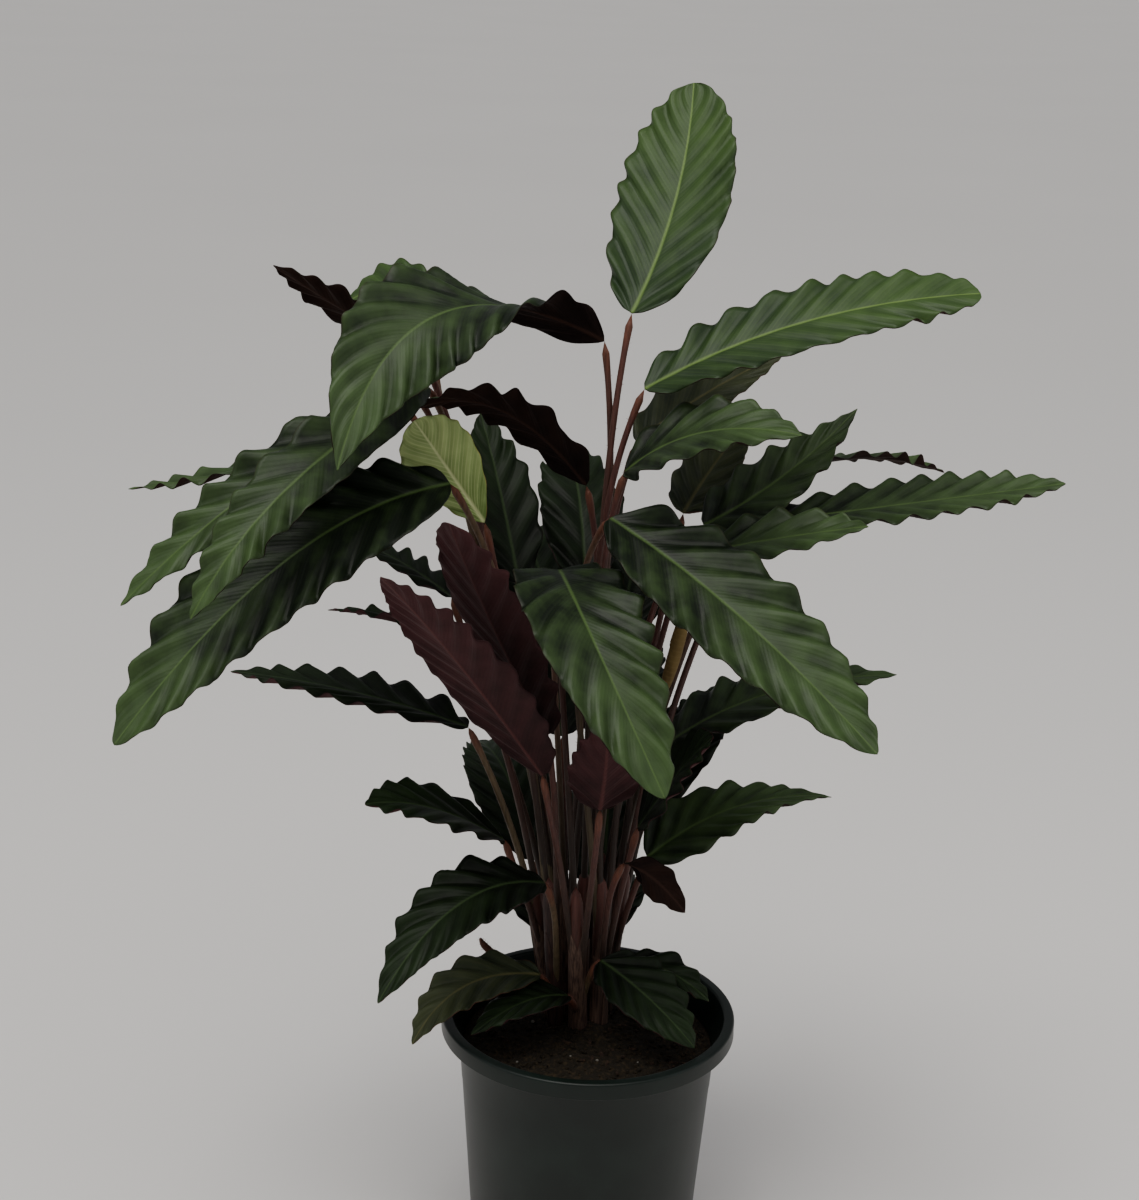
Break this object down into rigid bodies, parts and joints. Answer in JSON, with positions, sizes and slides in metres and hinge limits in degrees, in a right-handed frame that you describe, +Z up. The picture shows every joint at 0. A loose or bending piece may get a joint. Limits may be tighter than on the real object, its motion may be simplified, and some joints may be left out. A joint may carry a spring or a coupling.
{
  "type": "potted plant",
  "caption": "Potted calathea rufibarba: upright clump of slender stalks with long wavy green leaves, in a round plastic nursery pot.",
  "frame": {"origin": "centre of the pot's flat base, which stands on the ground", "axes": "+Z up along the pot's axis; the plant's front, the side pictured, looks along -Y; +X is to the viewer's right"},
  "size_m": [0.5152, 0.3219, 0.6802],
  "materials": {
    "pot_plastic": "satin black-green injection-moulded plastic",
    "potting_soil": "loose dark potting soil",
    "stalk": "dark maroon stalks with a soft down",
    "leaf": "satin green upper side, velvety burgundy underside"
  },
  "bodies": {
    "root": {"pot": "pot_plastic", "soil": "potting_soil", "shoot_centre": "stalk", "shoot_front": "stalk", "shoot_right_front": "stalk", "shoot_right": "stalk", "shoot_right_back": "stalk", "shoot_left_back": "stalk", "shoot_left": "stalk", "shoot_left_front": "stalk", "leaf_01": "leaf", "leaf_02": "leaf", "leaf_03": "leaf", "leaf_04": "leaf", "leaf_05": "leaf", "leaf_06": "leaf", "leaf_07": "leaf", "leaf_08": "leaf", "leaf_09": "leaf", "leaf_10": "leaf", "leaf_11": "leaf", "leaf_12": "leaf", "leaf_13": "leaf", "leaf_14": "leaf", "leaf_15": "leaf", "leaf_16": "leaf", "leaf_17": "leaf", "leaf_18": "leaf", "leaf_19": "leaf", "leaf_20": "leaf", "leaf_21": "leaf", "leaf_22": "leaf", "leaf_23": "leaf", "leaf_24": "leaf", "leaf_25": "leaf", "leaf_26": "leaf", "leaf_27": "leaf", "leaf_28": "leaf", "leaf_29": "leaf", "leaf_30": "leaf", "leaf_31": "leaf", "leaf_32": "leaf", "leaf_33": "leaf", "leaf_34": "leaf", "leaf_35": "leaf", "leaf_36": "leaf", "leaf_37": "leaf", "leaf_38": "leaf", "leaf_40": "leaf", "leaf_42": "leaf", "leaf_43": "leaf", "leaf_44": "leaf", "leaf_45": "leaf", "leaf_46": "leaf", "leaf_47": "leaf", "leaf_48": "leaf", "leaf_49": "leaf", "leaf_50": "leaf", "leaf_51": "leaf", "rolled_leaf": "leaf"}
  },
  "joints": []
}
